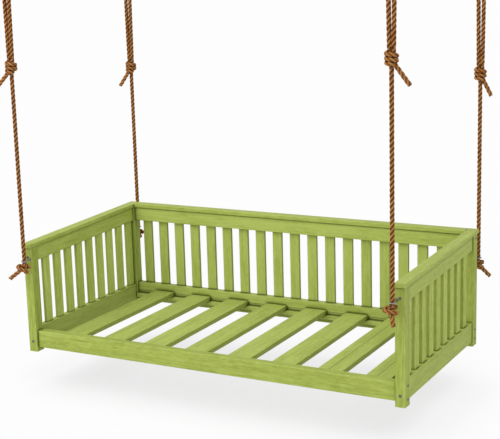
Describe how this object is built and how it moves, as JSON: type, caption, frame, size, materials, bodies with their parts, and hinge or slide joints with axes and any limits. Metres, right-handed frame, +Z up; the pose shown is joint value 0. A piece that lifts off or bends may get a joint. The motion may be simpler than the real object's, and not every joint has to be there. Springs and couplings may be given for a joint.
{
  "type": "hanging swing bed",
  "caption": "Painted timber daybed frame with slatted back and ends, low front rail and slatted base, hung at its corners on knotted ropes from ceiling brackets and links.",
  "frame": {"origin": "middle of the bed's footprint, level with the feet of the posts", "axes": "+X along the bed to its right-hand end, +Y from the open front to the back, +Z up"},
  "size_m": [2.2173, 1.2014, 2.01],
  "materials": {
    "painted_timber": "brushed lime green paint, grain showing",
    "rope": "brown laid rope",
    "hanger_steel": "dull zinc",
    "bolt_steel": "dull zinc, partly painted over"
  },
  "bodies": {
    "ceiling_brackets": {"ceiling_bracket_front_left": "hanger_steel", "ceiling_bracket_front_right": "hanger_steel", "ceiling_bracket_back_left": "hanger_steel", "ceiling_bracket_back_right": "hanger_steel", "ceiling_pins": "hanger_steel"},
    "link_front_left": {"ceiling_link_front_left": "hanger_steel"},
    "hanger_front_left": {"rope_loop_front_left": "rope", "noose_knot_front_left": "rope", "rope_front_left": "rope", "low_knot_front_left": "rope"},
    "link_front_right": {"ceiling_link_front_right": "hanger_steel"},
    "hanger_front_right": {"rope_loop_front_right": "rope", "noose_knot_front_right": "rope", "rope_front_right": "rope", "low_knot_front_right": "rope"},
    "link_back_left": {"ceiling_link_back_left": "hanger_steel"},
    "hanger_back_left": {"rope_loop_back_left": "rope", "noose_knot_back_left": "rope", "rope_back_left": "rope"},
    "link_back_right": {"ceiling_link_back_right": "hanger_steel"},
    "hanger_back_right": {"rope_loop_back_right": "rope", "noose_knot_back_right": "rope", "rope_back_right": "rope", "low_knot_back_right": "rope"},
    "knot_back_left": {"low_knot_back_left": "rope"},
    "bed": {"post_front_left": "painted_timber", "post_front_right": "painted_timber", "post_back_left": "painted_timber", "post_back_right": "painted_timber", "end_top_rail_left": "painted_timber", "end_top_rail_right": "painted_timber", "end_low_rail_left": "painted_timber", "end_low_rail_right": "painted_timber", "back_top_rail": "painted_timber", "back_low_rail": "painted_timber", "back_beam": "painted_timber", "front_rail": "painted_timber", "arm_cap_left": "painted_timber", "arm_cap_right": "painted_timber", "back_cap": "painted_timber", "end_slats_left": "painted_timber", "end_slats_right": "painted_timber", "back_slats": "painted_timber", "bed_slat_1": "painted_timber", "bed_slat_2": "painted_timber", "bed_slat_3": "painted_timber", "bed_slat_4": "painted_timber", "bed_slat_5": "painted_timber", "bed_slat_6": "painted_timber", "bed_slat_7": "painted_timber", "bed_slat_8": "painted_timber", "cleat_front": "painted_timber", "cleat_back": "painted_timber", "frame_bolts": "bolt_steel", "eye_bolt_front_left": "hanger_steel", "eye_bolt_front_right": "hanger_steel", "eye_bolt_back_left": "hanger_steel", "eye_bolt_back_right": "hanger_steel"}
  },
  "joints": [
    {"name": "swing_fore_aft", "type": "hinge", "parent": "ceiling_brackets", "child": "link_back_left", "pos_m": [-1.046, 0.562, 1.8827], "axis": [1, 0, 0], "range_deg": [-9, 9]},
    {"name": "swing_sideways", "type": "hinge", "parent": "link_back_left", "child": "hanger_back_left", "pos_m": [-1.046, 0.562, 1.848], "axis": [0, 1, 0], "range_deg": [-8, 8]},
    {"name": "fore_aft_front_left", "type": "hinge", "parent": "ceiling_brackets", "child": "link_front_left", "pos_m": [-1.014, -0.562, 1.9347], "axis": [1, 0, 0], "range_deg": [-9, 9]},
    {"name": "sideways_front_left", "type": "hinge", "parent": "link_front_left", "child": "hanger_front_left", "pos_m": [-1.014, -0.562, 1.9], "axis": [0, 1, 0], "range_deg": [-8, 8]},
    {"name": "fore_aft_front_right", "type": "hinge", "parent": "ceiling_brackets", "child": "link_front_right", "pos_m": [1.014, -0.562, 1.9347], "axis": [1, 0, 0], "range_deg": [-9, 9]},
    {"name": "sideways_front_right", "type": "hinge", "parent": "link_front_right", "child": "hanger_front_right", "pos_m": [1.014, -0.562, 1.9], "axis": [0, 1, 0], "range_deg": [-8, 8]},
    {"name": "fore_aft_back_right", "type": "hinge", "parent": "ceiling_brackets", "child": "link_back_right", "pos_m": [1.046, 0.562, 1.8827], "axis": [1, 0, 0], "range_deg": [-9, 9]},
    {"name": "sideways_back_right", "type": "hinge", "parent": "link_back_right", "child": "hanger_back_right", "pos_m": [1.046, 0.562, 1.848], "axis": [0, 1, 0], "range_deg": [-8, 8]},
    {"name": "knot_turn", "type": "hinge", "parent": "hanger_back_left", "child": "knot_back_left", "pos_m": [-1.046, 0.562, 0.45], "axis": [0, 1, 0], "range_deg": [-8, 8]},
    {"name": "bed_level", "type": "hinge", "parent": "knot_back_left", "child": "bed", "pos_m": [-1.046, 0.562, 0.45], "axis": [1, 0, 0], "range_deg": [-9, 9]}
  ],
  "couplings": [
    {"joint": "fore_aft_front_left", "follows": "swing_fore_aft", "ratio": 1},
    {"joint": "sideways_front_left", "follows": "swing_sideways", "ratio": 1},
    {"joint": "fore_aft_front_right", "follows": "swing_fore_aft", "ratio": 1},
    {"joint": "sideways_front_right", "follows": "swing_sideways", "ratio": 1},
    {"joint": "fore_aft_back_right", "follows": "swing_fore_aft", "ratio": 1},
    {"joint": "sideways_back_right", "follows": "swing_sideways", "ratio": 1},
    {"joint": "knot_turn", "follows": "swing_sideways", "ratio": -1},
    {"joint": "bed_level", "follows": "swing_fore_aft", "ratio": -1}
  ]
}
